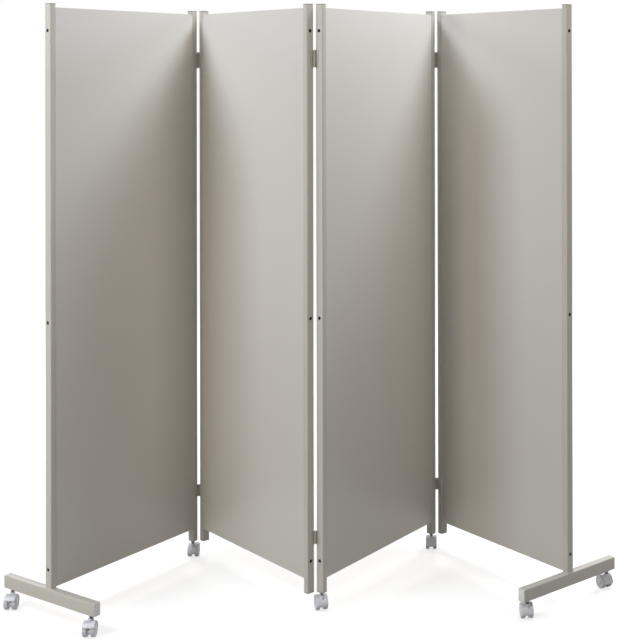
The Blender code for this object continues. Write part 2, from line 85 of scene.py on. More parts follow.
def link_white_rays(tree):
    """The sum of the rays that go to the camera, off a gloss and through a clear piece."""
    rays = tree.nodes.new("ShaderNodeLightPath")
    total = rays.outputs["Is Camera Ray"]
    for kind in ("Is Glossy Ray", "Is Transmission Ray"):
        step = tree.nodes.new("ShaderNodeMath")
        step.operation = "ADD"
        step.use_clamp = True
        tree.links.new(total, step.inputs[0])
        tree.links.new(rays.outputs[kind], step.inputs[1])
        total = step.outputs[0]
    return total


def mix_by_rays(tree, plain, white, surface):
    """One shader for the light on the object and another where the studio itself is seen."""
    mix = tree.nodes.new("ShaderNodeMixShader")
    tree.links.new(link_white_rays(tree), mix.inputs["Fac"])
    tree.links.new(plain, mix.inputs[1])
    tree.links.new(white, mix.inputs[2])
    tree.links.new(mix.outputs[0], surface)


studio = bpy.data.worlds.new("white_studio")
scene.world = studio
studio.use_nodes = True
studio.node_tree.nodes.clear()
studio_out = studio.node_tree.nodes.new("ShaderNodeOutputWorld")
room = studio.node_tree.nodes.new("ShaderNodeBackground")
room.inputs["Color"].default_value = (1.0, 1.0, 1.0, 1.0)
room.inputs["Strength"].default_value = ROOM_LIGHT
backdrop = studio.node_tree.nodes.new("ShaderNodeBackground")
backdrop.inputs["Color"].default_value = (1.0, 1.0, 1.0, 1.0)
backdrop.inputs["Strength"].default_value = 1.0
mix_by_rays(studio.node_tree, room.outputs[0], backdrop.outputs[0], studio_out.inputs["Surface"])

floor_paint = bpy.data.materials.new("white_floor")
floor_paint.use_nodes = True
floor_tree = floor_paint.node_tree
floor_tree.nodes.clear()
floor_out = floor_tree.nodes.new("ShaderNodeOutputMaterial")
matt = floor_tree.nodes.new("ShaderNodeBsdfDiffuse")
matt.inputs["Color"].default_value = (FLOOR_GREY, FLOOR_GREY, FLOOR_GREY, 1.0)
floor_spot = floor_tree.nodes.new("ShaderNodeTexCoord")
reach = floor_tree.nodes.new("ShaderNodeVectorMath")
reach.operation = "LENGTH"
floor_tree.links.new(floor_spot.outputs["Object"], reach.inputs[0])
fade = floor_tree.nodes.new("ShaderNodeMapRange")
fade.inputs["From Min"].default_value = NEAR_REACH
fade.inputs["From Max"].default_value = FAR_REACH
fade.inputs["To Min"].default_value = NEAR_GLOW
fade.inputs["To Max"].default_value = FAR_GLOW
floor_tree.links.new(reach.outputs["Value"], fade.inputs["Value"])
glow = floor_tree.nodes.new("ShaderNodeEmission")
floor_tree.links.new(fade.outputs["Result"], glow.inputs["Strength"])
bright = floor_tree.nodes.new("ShaderNodeAddShader")
floor_tree.links.new(matt.outputs[0], bright.inputs[0])
floor_tree.links.new(glow.outputs[0], bright.inputs[1])
mix_by_rays(floor_tree, matt.outputs[0], bright.outputs[0], floor_out.inputs["Surface"])

floor_shape = bmesh.new()
bmesh.ops.create_grid(floor_shape, x_segments=1, y_segments=1, size=FLOOR_SIZE / 2)
floor_mesh = bpy.data.meshes.new("studio_floor")
floor_shape.to_mesh(floor_mesh)
floor_shape.free()
floor_mesh.materials.append(floor_paint)
floor = bpy.data.objects.new("studio_floor", floor_mesh)
floor.location.z = -FLOOR_DROP
scene.collection.objects.link(floor)

for box_name, (place, watts, tint) in SOFT_BOXES.items():
    lamp = bpy.data.lights.new(box_name, "AREA")
    lamp.shape = "SQUARE"
    lamp.size = BOX_SIZE
    lamp.energy = watts
    lamp.color = tint
    holder = bpy.data.objects.new(box_name, lamp)
    holder.location = place
    holder.rotation_euler = (Vector(SCREEN_MIDDLE) - Vector(place)).to_track_quat("-Z", "Y").to_euler()
    scene.collection.objects.link(holder)


# Boards
# Four chipboard panels, 22 mm thick, with a warm grey melamine face pressed on each side and a
# band of the same colour glued round the edges. Each is screwed between two posts at its sides.
PANEL_HALF = 0.300
HINGE_REACH = 0.0049
POST_WIDTH = 0.020
POST_DEPTH = 0.025
SEAT_GAP = 0.0003
BOARD_HALF = PANEL_HALF - POST_WIDTH - SEAT_GAP
BOARD_THICKNESS = 0.022
BOARD_BOTTOM = 0.098
BOARD_TOP = 1.788
BOARD_EASE = 0.0010
BAND_THICKNESS = 0.0010
EASE_SEGMENTS = 2
EASE_PROFILE = 0.5
SCREW_HEIGHTS = (0.151, 0.86864, 1.720)
SCREW_HOLE_RADIUS = 0.0022
SCREW_HOLE_DEPTH = 0.030
CUT_OVERRUN = 0.002
MERGE_DISTANCE = 0.00001
ROUND_STEPS = 32
SHARP_ANGLE = 32.0
NOISE_MIDDLE = 0.5
CLOUD_DETAIL = 3.0
PEBBLE_DETAIL = 2.0
PANEL_TURNS = {1: 52.25, 2: -52.25, 3: 52.25, 4: -53.75}
PANEL_PINS = {1: ("fold_1", -1, 1), 2: ("fold_1", 1, 1), 3: ("fold_2", 1, -1), 4: ("fold_3", 1, 1)}

joints = {joint["name"]: joint for joint in frame["joints"]}


def add_node(tree, kind, **settings):
    """A node of one kind with its settings."""
    node = tree.nodes.new(kind)
    for name, value in settings.items():
        setattr(node, name, value)
    return node


def make_surface_group():
    """Cloudy changes of shade and a fine pebbled relief, both by the place on the piece."""
    group = bpy.data.node_groups.new("cloud_and_pebble", "ShaderNodeTree")
    group.interface.new_socket("Shade", in_out="INPUT", socket_type="NodeSocketColor")
    for name in ("Cloud Scale", "Cloud Depth", "Pebble Scale", "Roughness"):
        group.interface.new_socket(name, in_out="INPUT", socket_type="NodeSocketFloat")
    group.interface.new_socket("Color", in_out="OUTPUT", socket_type="NodeSocketColor")
    group.interface.new_socket("Roughness", in_out="OUTPUT", socket_type="NodeSocketFloat")
    group.interface.new_socket("Height", in_out="OUTPUT", socket_type="NodeSocketFloat")
    given = group.nodes.new("NodeGroupInput")
    made = group.nodes.new("NodeGroupOutput")
    place = group.nodes.new("ShaderNodeTexCoord")
    cloud = add_node(group, "ShaderNodeTexNoise", noise_dimensions="3D")
    cloud.inputs["Detail"].default_value = CLOUD_DETAIL
    pebble = add_node(group, "ShaderNodeTexNoise", noise_dimensions="3D")
    pebble.inputs["Detail"].default_value = PEBBLE_DETAIL
    group.links.new(place.outputs["Object"], cloud.inputs["Vector"])
    group.links.new(place.outputs["Object"], pebble.inputs["Vector"])
    group.links.new(given.outputs["Cloud Scale"], cloud.inputs["Scale"])
    group.links.new(given.outputs["Pebble Scale"], pebble.inputs["Scale"])
    centred = add_node(group, "ShaderNodeMath", operation="SUBTRACT")
    centred.inputs[1].default_value = NOISE_MIDDLE
    swing = add_node(group, "ShaderNodeMath", operation="MULTIPLY")
    factor = add_node(group, "ShaderNodeMath", operation="ADD")
    factor.inputs[1].default_value = 1.0
    group.links.new(cloud.outputs["Fac"], centred.inputs[0])
    group.links.new(centred.outputs[0], swing.inputs[0])
    group.links.new(given.outputs["Cloud Depth"], swing.inputs[1])
    group.links.new(swing.outputs[0], factor.inputs[0])
    tinted = add_node(group, "ShaderNodeVectorMath", operation="SCALE")
    group.links.new(given.outputs["Shade"], tinted.inputs[0])
    group.links.new(factor.outputs[0], tinted.inputs["Scale"])
    rougher = add_node(group, "ShaderNodeMath", operation="ADD")
    group.links.new(given.outputs["Roughness"], rougher.inputs[0])
    group.links.new(swing.outputs[0], rougher.inputs[1])
    group.links.new(tinted.outputs["Vector"], made.inputs["Color"])
    group.links.new(rougher.outputs[0], made.inputs["Roughness"])
    group.links.new(pebble.outputs["Fac"], made.inputs["Height"])
    return group


surface_group = make_surface_group()


def make_finish(name, shade, roughness, cloud, depth, pebble, relief, metallic=0.0):
    """A finish whose shade is cloudy by a share, depth, and whose pebbles stand up by a relief in metres."""
    finish = bpy.data.materials.new(name)
    finish.use_nodes = True
    tree = finish.node_tree
    shader = tree.nodes["Principled BSDF"]
    shader.inputs["Metallic"].default_value = metallic
    look = add_node(tree, "ShaderNodeGroup", node_tree=surface_group)
    look.inputs["Shade"].default_value = (*shade, 1.0)
    look.inputs["Roughness"].default_value = roughness
    look.inputs["Cloud Scale"].default_value = cloud
    look.inputs["Cloud Depth"].default_value = depth
    look.inputs["Pebble Scale"].default_value = pebble
    bump = add_node(tree, "ShaderNodeBump")
    bump.inputs["Strength"].default_value = 1.0
    bump.inputs["Distance"].default_value = relief
    tree.links.new(look.outputs["Color"], shader.inputs["Base Color"])
    tree.links.new(look.outputs["Roughness"], shader.inputs["Roughness"])
    tree.links.new(look.outputs["Height"], bump.inputs["Height"])
    tree.links.new(bump.outputs["Normal"], shader.inputs["Normal"])
    return finish


def mesh_from(shape, name):
    """A bmesh turned into a mesh, its faces pointing outwards."""
    bmesh.ops.recalc_face_normals(shape, faces=shape.faces)
    mesh = bpy.data.meshes.new(name)
    shape.to_mesh(mesh)
    shape.free()
    return mesh


def round_edges(shape, edges, size, segments):
    """Give edges of a bmesh a round of one size."""
    bmesh.ops.bevel(shape, geom=edges, offset=size, segments=segments, profile=EASE_PROFILE, affect="EDGES")


def raise_outline(name, outline, low, high, ease=0.0):
    """An outline pulled up from one height to another, its end rims eased by a small round."""
    shape = bmesh.new()
    base = shape.faces.new([shape.verts.new((x, y, low)) for x, y in outline])
    raised = bmesh.ops.extrude_face_region(shape, geom=[base])
    corners = [item for item in raised["geom"] if isinstance(item, bmesh.types.BMVert)]
    bmesh.ops.translate(shape, verts=corners, vec=(0, 0, high - low))
    if ease:
        rims = [edge for edge in shape.edges if edge.verts[0].co.z == edge.verts[1].co.z]
        round_edges(shape, rims, ease, EASE_SEGMENTS)
    return mesh_from(shape, name)


def spin_profile(name, profile, steps=ROUND_STEPS, closed=False):
    """Radius and height pairs spun about Z."""
    shape = bmesh.new()
    points = [shape.verts.new((radius, 0, z)) for radius, z in profile]
    pairs = list(zip(points, points[1:]))
    if closed:
        pairs.append((points[-1], points[0]))
    ends = [shape.edges.new(pair) for pair in pairs]
    bmesh.ops.spin(shape, geom=points + ends, cent=(0, 0, 0), axis=(0, 0, 1), angle=math.tau, steps=steps)
    bmesh.ops.remove_doubles(shape, verts=shape.verts, dist=MERGE_DISTANCE)
    return mesh_from(shape, name)


def round_bar(name, radius, low, high, steps=ROUND_STEPS):
    """A plain round bar along Z."""
    return spin_profile(name, [(0, low), (radius, low), (radius, high), (0, high)], steps)


def gather(name, placed):
    """One mesh of several placed meshes."""
    shape = bmesh.new()
    for mesh, place in placed:
        copy = mesh.copy()
        copy.transform(place)
        shape.from_mesh(copy)
        bpy.data.meshes.remove(copy)
    return mesh_from(shape, name)


def machine(name, mesh, operation, others):
    """The mesh joined with, or cut by, each of the other meshes in turn."""
    blank = bpy.data.objects.new(name, mesh)
    scene.collection.objects.link(blank)
    tools = []
    for other in others:
        tool = bpy.data.objects.new(f"{name}_tool", other)
        scene.collection.objects.link(tool)
        step = blank.modifiers.new(operation.title(), "BOOLEAN")
        step.operation = operation
        step.solver = "EXACT"
        step.object = tool
        tools.append(tool)
    bpy.context.view_layer.update()
    worked = blank.evaluated_get(bpy.context.evaluated_depsgraph_get())
    result = bpy.data.meshes.new_from_object(worked)
    result.name = name
    for thing in [blank, *tools]:
        bpy.data.objects.remove(thing, do_unlink=True)
    return result


def face_along(way, x=0.0, y=0.0, z=0.0):
    """A mesh made along Z, turned another way and moved."""
    turns = {
        "+X": Matrix.Rotation(math.pi / 2, 4, "Y"),
        "-X": Matrix.Rotation(-math.pi / 2, 4, "Y"),
        "+Y": Matrix.Rotation(-math.pi / 2, 4, "X"),
        "-Y": Matrix.Rotation(math.pi / 2, 4, "X"),
    }
    return Matrix.Translation((x, y, z)) @ turns[way]


def add_piece(name, mesh, finish, body, slot, place, *stands_for):
    """A finished piece at its place, riding on its body."""
    if not mesh.materials:
        mesh.materials.append(finish)
    mesh.shade_smooth()
    mesh.set_sharp_from_angle(angle=math.radians(SHARP_ANGLE))
    piece = bpy.data.objects.new(name, mesh)
    scene.collection.objects.link(piece)
    piece.matrix_world = place
    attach(piece, body)
    if stands_for:
        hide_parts(*stands_for)
    return piece


def panel_place(number):
    """The middle of a panel at floor level, from the hinge pins that it hangs on."""
    fold, along, across = PANEL_PINS[number]
    turn = Matrix.Rotation(math.radians(PANEL_TURNS[number]), 4, "Z")
    offset = (along * (PANEL_HALF + HINGE_REACH), across * POST_DEPTH / 2, 0)
    return Matrix.Translation(joints[fold]["pos_m"]) @ turn @ Matrix.Translation(offset)


def make_board():
    """A board about the middle of its panel: eased edges, and screw holes in its upright sides."""
    half = BOARD_THICKNESS / 2
    outline = [(-BOARD_HALF, -half), (BOARD_HALF, -half), (BOARD_HALF, half), (-BOARD_HALF, half)]
    board = raise_outline("board", outline, BOARD_BOTTOM, BOARD_TOP, BOARD_EASE)
    hole = round_bar("screw_hole", SCREW_HOLE_RADIUS, -CUT_OVERRUN, SCREW_HOLE_DEPTH)
    holes = []
    for height in SCREW_HEIGHTS:
        holes.append((hole, face_along("+X", x=-BOARD_HALF, z=height)))
        holes.append((hole, face_along("-X", x=BOARD_HALF, z=height)))
    return machine("board", board, "DIFFERENCE", [gather("screw_holes", holes)])


melamine = make_finish(
    "warm_grey_melamine",
    shade=(0.605, 0.577, 0.532),
    roughness=0.46,
    cloud=2.2,
    depth=0.05,
    pebble=700.0,
    relief=0.00006,
)
edge_band = make_finish(
    "warm_grey_edge_band",
    shade=(0.57, 0.545, 0.50),
    roughness=0.38,
    cloud=9.0,
    depth=0.04,
    pebble=1400.0,
    relief=0.00003,
)

board_mesh = make_board()
board_mesh.materials.append(melamine)
board_mesh.materials.append(edge_band)
for face in board_mesh.polygons:
    on_end = min(face.center.z - BOARD_BOTTOM, BOARD_TOP - face.center.z) < BAND_THICKNESS
    if on_end and abs(face.normal.y) < abs(face.normal.z):
        face.material_index = 1
for number in PANEL_PINS:
    node = f"panel_{number}_board"
    add_piece(f"{node}_faced", board_mesh, melamine, f"panel_{number}", "board", panel_place(number), node)


# Posts
# Rectangular steel tube, 20 by 25 mm with a 1.2 mm wall, powder coated in warm grey. Wide holes
# in the outer wall let the board screws through. The hinge leaves, 1.2 mm plate with rolled
# knuckles, are welded to the outer wall. The leaves and knuckles are given a darker grey than the
# posts as painted shade, for the shade at the back of the gap between the posts.
POST_CORNER = 0.003
POST_WALL = 0.0012
POST_TOP = 1.800
MOUNT_HEIGHT = 0.057
FOOT_TOP = 0.0953
CAP_FLANGE = 0.0028
CAP_SEAM = 0.0002
ACCESS_RADIUS = 0.0050
HOLE_START = POST_WIDTH / 4
FOLD_FACES = {1: -1, 2: 1, 3: -1}
FOOT_POSTS = {"left_foot": (1, -1), "right_foot": (4, 1)}
CORNER_STEPS = 6
KNUCKLES = 3
KNUCKLE_RADIUS = 0.0034
KNUCKLE_BORE = 0.0018
KNUCKLE_GAP = 0.0004
KNUCKLE_EASE = 0.0003
LEAF_THICKNESS = 0.0012
LEAF_EDGE = 0.0006
LEAF_WIDTH = 0.010
LEAF_END = 0.0005
LEAF_CORNER = 0.0025
LEAF_WEB = 0.0018
LEAF_WEB_ROOT = 0.0005
WELD_LINE = 0.00005
HINGES = {"upper": (1.637, 0.051), "lower": (0.2195, 0.038)}

powder_coat = make_finish(
    "warm_grey_powder_coat",
    shade=(0.54, 0.515, 0.468),
    roughness=0.40,
    cloud=6.0,
    depth=0.05,
    pebble=900.0,
    relief=0.00008,
)
# Darker than the posts' coat: painted shade for the hinges, which lie in shade at the back of the gap.
hinge_gap_shade_coat = make_finish(
    "dark_grey_painted_gap_shade",
    shade=(0.42, 0.39, 0.34),
    roughness=0.42,
    cloud=50.0,
    depth=0.08,
    pebble=1500.0,
    relief=0.00004,
)


def rounded_outline(width, depth, corner, steps=CORNER_STEPS):
    """Corners of a rectangle with rounded edges, centred on the origin."""
    points = []
    for turn, (side_x, side_y) in enumerate(((1, 1), (-1, 1), (-1, -1), (1, -1))):
        middle_x = side_x * (width / 2 - corner)
        middle_y = side_y * (depth / 2 - corner)
        for step in range(steps + 1):
            angle = (turn + step / steps) * math.pi / 2
            points.append((middle_x + corner * math.cos(angle), middle_y + corner * math.sin(angle)))
    return points


def make_leaf(length, side, face):
    """A leaf with its knuckles about the pin, for a post that lies towards X times side."""
    outline = rounded_outline(length + 2 * LEAF_END, LEAF_WIDTH, LEAF_CORNER)
    plate = raise_outline("leaf", outline, 0, LEAF_THICKNESS + POST_WALL / 2, KNUCKLE_EASE)
    pin_face = KNUCKLE_RADIUS + SEAT_GAP
    middle_y = -face * (LEAF_EDGE + LEAF_WIDTH / 2)
    plate.transform(face_along("+X" if side > 0 else "-X", x=side * pin_face, y=middle_y))
    knuckle = (length - (KNUCKLES - 1) * KNUCKLE_GAP) / KNUCKLES
    spans = [(-knuckle / 2, knuckle / 2)]
    if side < 0:
        spans = [(-length / 2, knuckle - length / 2), (length / 2 - knuckle, length / 2)]
    pieces = [plate]
    for low, high in spans:
        ring = [
            (KNUCKLE_BORE, low),
            (KNUCKLE_RADIUS - KNUCKLE_EASE, low),
            (KNUCKLE_RADIUS, low + KNUCKLE_EASE),
            (KNUCKLE_RADIUS, high - KNUCKLE_EASE),
            (KNUCKLE_RADIUS - KNUCKLE_EASE, high),
            (KNUCKLE_BORE, high),
        ]
        pieces.append(spin_profile("knuckle", ring, closed=True))
        near_x = side * (KNUCKLE_BORE + LEAF_WEB_ROOT)
        far_x = side * (pin_face + LEAF_THICKNESS / 2)
        near_y = -face * LEAF_EDGE * 2
        far_y = -face * (LEAF_EDGE + LEAF_WEB)
        web = [(near_x, near_y), (far_x, near_y), (far_x, far_y), (near_x, far_y)]
        pieces.append(raise_outline("knuckle_web", web, low + LEAF_END, high - LEAF_END))
    return pieces


def make_post(number, side):
    """A post's tube about its own middle, with its holes and its welded hinge leaves."""
    on_foot = (number, side) in FOOT_POSTS.values()
    bottom = FOOT_TOP if on_foot else MOUNT_HEIGHT + CAP_FLANGE + CAP_SEAM
    top = POST_TOP - CAP_FLANGE - CAP_SEAM
    post = raise_outline("post", rounded_outline(POST_WIDTH, POST_DEPTH, POST_CORNER), bottom, top)
    inside = rounded_outline(POST_WIDTH - 2 * POST_WALL, POST_DEPTH - 2 * POST_WALL, POST_CORNER - POST_WALL)
    hollow = raise_outline("hollow", inside, bottom - CUT_OVERRUN, top + CUT_OVERRUN)
    access = round_bar("access_hole", ACCESS_RADIUS, 0, POST_WIDTH / 2 + CUT_OVERRUN)
    narrow = round_bar("screw_hole", SCREW_HOLE_RADIUS, HOLE_START, POST_WIDTH / 2 + CUT_OVERRUN)
    outwards, inwards = ("+X", "-X") if side > 0 else ("-X", "+X")
    holes = [(access, face_along(outwards, z=height)) for height in SCREW_HEIGHTS]
    holes += [(narrow, face_along(inwards, z=height)) for height in SCREW_HEIGHTS]
    post = machine("post", post, "DIFFERENCE", [hollow, gather("post_holes", holes)])
    fold = number if side > 0 else number - 1
    if fold not in FOLD_FACES:
        return post
    leaves = []
    pin = (side * (POST_WIDTH / 2 + HINGE_REACH), FOLD_FACES[fold] * POST_DEPTH / 2)
    for height, length in HINGES.values():
        for piece in make_leaf(length, -side, FOLD_FACES[fold]):
            piece.transform(Matrix.Translation((*pin, height)))
            leaves.append(piece)
    post = machine("post", post, "UNION", leaves)
    post.materials.append(powder_coat)
    post.materials.append(hinge_gap_shade_coat)
    # The faces outside the tube, the leaves and knuckles, get the darker hinge grey: painted shade.
    for face in post.polygons:
        if side * face.center.x > POST_WIDTH / 2 + WELD_LINE:
            face.material_index = 1
    return post


def post_middle(number, side):
    """The place of a post's own middle at floor level."""
    return panel_place(number) @ Matrix.Translation((side * (PANEL_HALF - POST_WIDTH / 2), 0, 0))


for number in PANEL_PINS:
    for side, word in ((-1, "left"), (1, "right")):
        node = f"panel_{number}_{word}_post"
        tube = make_post(number, side)
        place = post_middle(number, side)
        add_piece(f"{node}_tube", tube, powder_coat, f"panel_{number}", "paint", place, node)


# Post caps
# Grey moulded caps pushed into the open ends of the posts, their flanges as wide as the tube.
# The lower ones of three posts have a bore for a caster's stem.
CAP_INSERT = 0.012
CAP_EASE = 0.0007
CAP_GRIP = 0.0004
STEM_BORE = 0.0043
STEM_POSTS = ((1, 1), (3, -1), (3, 1))

cap_plastic = make_finish(
    "mid_grey_cap_plastic",
    shade=(0.36, 0.345, 0.31),
    roughness=0.48,
    cloud=30.0,
    depth=0.05,
    pebble=1200.0,
    relief=0.00005,
)

flange_outline = rounded_outline(POST_WIDTH, POST_DEPTH, POST_CORNER)
flange = raise_outline("post_cap", flange_outline, 0, CAP_FLANGE, CAP_EASE)
plug_width = POST_WIDTH - 2 * POST_WALL - CAP_GRIP
plug_depth = POST_DEPTH - 2 * POST_WALL - CAP_GRIP
plug_outline = rounded_outline(plug_width, plug_depth, POST_CORNER / 2)
plug = raise_outline("cap_plug", plug_outline, CAP_FLANGE / 2, CAP_FLANGE + CAP_INSERT)
bottom_cap = machine("post_cap", flange, "UNION", [plug])
top_cap = bottom_cap.copy()
top_cap.transform(Matrix.Rotation(math.pi, 4, "X"))
stem_bore = round_bar("stem_bore", STEM_BORE, -CUT_OVERRUN, CAP_FLANGE + CAP_INSERT + CUT_OVERRUN)
bored_cap = machine("bored_cap", bottom_cap.copy(), "DIFFERENCE", [stem_bore])
for number in PANEL_PINS:
    for side, word in ((-1, "left"), (1, "right")):
        name = f"panel_{number}_{word}_post"
        body = f"panel_{number}"
        at_top = post_middle(number, side) @ Matrix.Translation((0, 0, POST_TOP))
        add_piece(f"{name}_top_cap", top_cap, cap_plastic, body, "cap", at_top)
        if (number, side) not in FOOT_POSTS.values():
            lower = bored_cap if (number, side) in STEM_POSTS else bottom_cap
            at_bottom = post_middle(number, side) @ Matrix.Translation((0, 0, MOUNT_HEIGHT))
            add_piece(f"{name}_bottom_cap", lower, cap_plastic, body, "cap", at_bottom)


# Board screws
# Pan-head screws with a cross slot, three in each post, in near-black steel. They lie inside the tube
# with their heads against its inner wall, and are seen through the wide holes. Their near-black is
# painted shade that darkens the holes.
HEAD_RADIUS = 0.0038
HEAD_HEIGHT = 0.0026
HEAD_EDGE_SHARE = 0.35
HEAD_STEPS = 6
SLOT_LONG_SHARE = 0.58
SLOT_WIDE_SHARE = 0.15
SHANK_RADIUS = 0.0017
SHANK_LENGTH = 0.022
TURN_PER_PANEL = 0.7
TURN_PER_SIDE = 1.9
TURN_PER_METRE = 2.3

# Near-black steel: painted shade, for the screws seen in their holes and for the stems at the dark neck under
# the tubes.
painted_shade_black_steel = make_finish(
    "painted_shade_black_steel",
    shade=(0.10, 0.095, 0.09),
    roughness=0.45,
    cloud=60.0,
    depth=0.10,
    pebble=2500.0,
    relief=0.00002,
    metallic=1.0,
)

head_profile = [(0, 0), (HEAD_RADIUS, 0), (HEAD_RADIUS, HEAD_HEIGHT * HEAD_EDGE_SHARE)]
for step in range(1, HEAD_STEPS + 1):
    angle = step / HEAD_STEPS * math.pi / 2
    rise = HEAD_EDGE_SHARE + (1 - HEAD_EDGE_SHARE) * math.sin(angle)
    head_profile.append((HEAD_RADIUS * math.cos(angle), HEAD_HEIGHT * rise))
screw = spin_profile("screw_head", head_profile)
slot_long = HEAD_RADIUS * SLOT_LONG_SHARE
slot_wide = HEAD_RADIUS * SLOT_WIDE_SHARE
cross = []
for a, b in ((slot_long, slot_wide), (slot_wide, slot_long)):
    outline = [(-a, -b), (a, -b), (a, b), (-a, b)]
    cross.append(raise_outline("slot", outline, HEAD_HEIGHT * HEAD_EDGE_SHARE, HEAD_HEIGHT + CUT_OVERRUN))
screw = machine("screw_head", screw, "DIFFERENCE", cross)
shank = round_bar("shank", SHANK_RADIUS, -SHANK_LENGTH, SEAT_GAP)
screw = machine("board_screw", screw, "UNION", [shank])
for number in PANEL_PINS:
    for side, word in ((-1, "left"), (1, "right")):
        for height, level in zip(SCREW_HEIGHTS, ("low", "middle", "high")):
            wall = side * (PANEL_HALF - POST_WIDTH + POST_WALL)
            place = panel_place(number) @ face_along("+X" if side > 0 else "-X", x=wall, z=height)
            turn = TURN_PER_PANEL * number + TURN_PER_SIDE * side + TURN_PER_METRE * height
            driven = place @ Matrix.Rotation(turn, 4, "Z")
            name = f"panel_{number}_{word}_{level}_screw"
            add_piece(name, screw, painted_shade_black_steel, f"panel_{number}", "steel", driven)


# Hinge pins
# Loose steel pins, 3 mm thick, each dropped in from above until its domed head lies on the top
# knuckle. They take the darker hinge grey, painted shade for the back of the gap.
PIN_RADIUS = 0.0015
PIN_HEAD_RADIUS = 0.0027
PIN_HEAD_HEIGHT = 0.0012
PIN_HEAD_EDGE = 0.0004
PIN_HEAD_STEPS = 4


def make_pin(length):
    """A pin about the middle of its hinge."""
    end = -length / 2
    head = length / 2 + SEAT_GAP
    profile = [(0, end), (PIN_RADIUS - KNUCKLE_EASE, end), (PIN_RADIUS, end + KNUCKLE_EASE)]
    profile += [(PIN_RADIUS, head), (PIN_HEAD_RADIUS, head)]
    for step in range(PIN_HEAD_STEPS):
        angle = step / PIN_HEAD_STEPS * math.pi / 2
        rise = (PIN_HEAD_HEIGHT - PIN_HEAD_EDGE) * math.sin(angle)
        profile.append((PIN_HEAD_RADIUS * math.cos(angle), head + PIN_HEAD_EDGE + rise))
    profile.append((0, head + PIN_HEAD_HEIGHT))
    return spin_profile("hinge_pin", profile)


for fold in FOLD_FACES:
    for word, (height, length) in HINGES.items():
        node = f"fold_{fold}_{word}_hinge_pin"
        place = Matrix.Translation(joints[f"fold_{fold}"]["pos_m"]) @ Matrix.Translation((0, 0, height))
        add_piece(f"{node}_turned", make_pin(length), hinge_gap_shade_coat, f"panel_{fold}", "steel", place, node)


# Feet
# A bar of rectangular steel tube under each outer post, powder coated as the posts are and
# joined to its post by a weld bead, with a moulded cap in each end and a hole for each stem.
FOOT_LENGTH = 0.390
FOOT_WIDTH = 0.025
FOOT_HEIGHT = 0.038
FOOT_WALL = 0.0015
FOOT_CORNER = 0.0035
FOOT_CASTER_REACH = 0.171
FOOT_MIDDLE = MOUNT_HEIGHT + FOOT_HEIGHT / 2
END_FLANGE = 0.0025
END_EASE = 0.0009
BEAD_SIZE = 0.0018
BEAD_STEPS = 180
BEAD_RIPPLE = 0.16
BEAD_PITCH_STEPS = 6
BEAD_PROFILE = ((0.0, 0.0), (1.0, 0.0), (0.62, 0.40), (0.30, 0.72), (0.0, 1.0))


def resample(outline, count):
    """Points at even steps along a closed outline, each with the way outwards from it."""
    closed = outline + outline[:1]
    lengths = [math.dist(first, last) for first, last in zip(closed, closed[1:])]
    step_size = sum(lengths) / count
    points = []
    side = 0
    gone = 0.0
    for step in range(count):
        while gone + lengths[side] < step * step_size:
            gone += lengths[side]
            side += 1
        share = (step * step_size - gone) / lengths[side]
        (x0, y0), (x1, y1) = closed[side], closed[side + 1]
        run = Vector((x1 - x0, y1 - y0)).normalized()
        points.append((x0 + (x1 - x0) * share, y0 + (y1 - y0) * share, run.y, -run.x))
    return points


end_plastic = make_finish(
    "pale_grey_end_plastic",
    shade=(0.80, 0.80, 0.79),
    roughness=0.45,
    cloud=30.0,
    depth=0.03,
    pebble=1200.0,
    relief=0.00005,
)

foot_length = FOOT_LENGTH - 2 * END_FLANGE - 2 * SEAT_GAP
foot_outline = rounded_outline(FOOT_WIDTH, FOOT_HEIGHT, FOOT_CORNER)
foot = raise_outline("foot", foot_outline, -foot_length / 2, foot_length / 2)
foot_inside = rounded_outline(FOOT_WIDTH - 2 * FOOT_WALL, FOOT_HEIGHT - 2 * FOOT_WALL, POST_CORNER / 2)
foot_hollow = raise_outline("foot_hollow", foot_inside, -foot_length, foot_length)
foot = machine("foot", foot, "DIFFERENCE", [foot_hollow])
foot.transform(face_along("-Y"))
stem_hole = round_bar("stem_hole", STEM_BORE, -FOOT_HEIGHT / 2 - CUT_OVERRUN, 0)
stem_holes = [(stem_hole, Matrix.Translation((0, way * FOOT_CASTER_REACH, 0))) for way in (-1, 1)]
foot = machine("foot_bar", foot, "DIFFERENCE", [gather("stem_holes", stem_holes)])

insert_width = FOOT_WIDTH - 2 * FOOT_WALL - 2 * SEAT_GAP
insert_height = FOOT_HEIGHT - 2 * FOOT_WALL - 2 * SEAT_GAP
insert_outline = rounded_outline(insert_width, insert_height, POST_CORNER / 2)
end = raise_outline("foot_end", foot_outline, 0, END_FLANGE, END_EASE)
insert = raise_outline("end_insert", insert_outline, END_FLANGE / 2, END_FLANGE + CAP_INSERT)
front_end = machine("foot_end", end, "UNION", [insert])
back_end = front_end.copy()
front_end.transform(face_along("+Y", y=-FOOT_LENGTH / 2))
back_end.transform(face_along("-Y", y=FOOT_LENGTH / 2))


def make_bead():
    """A fillet of weld round the post's end, rippled along its run."""
    bead_shape = bmesh.new()
    inner = resample(rounded_outline(POST_WIDTH, POST_DEPTH, POST_CORNER), BEAD_STEPS)
    rings = []
    for out_share, up_share in BEAD_PROFILE:
        ring = []
        for step, (x, y, way_x, way_y) in enumerate(inner):
            ripple = 1 + BEAD_RIPPLE * math.sin(step * math.tau / BEAD_PITCH_STEPS)
            out = BEAD_SIZE * out_share * ripple
            up = BEAD_SIZE * up_share * ripple
            ring.append(bead_shape.verts.new((x + way_x * out, y + way_y * out, FOOT_TOP - SEAT_GAP + up)))
        rings.append(ring)
    for low, high in zip(rings, rings[1:] + rings[:1]):
        for step in range(BEAD_STEPS):
            ahead = (step + 1) % BEAD_STEPS
            bead_shape.faces.new((low[step], low[ahead], high[ahead], high[step]))
    return mesh_from(bead_shape, "weld_bead")


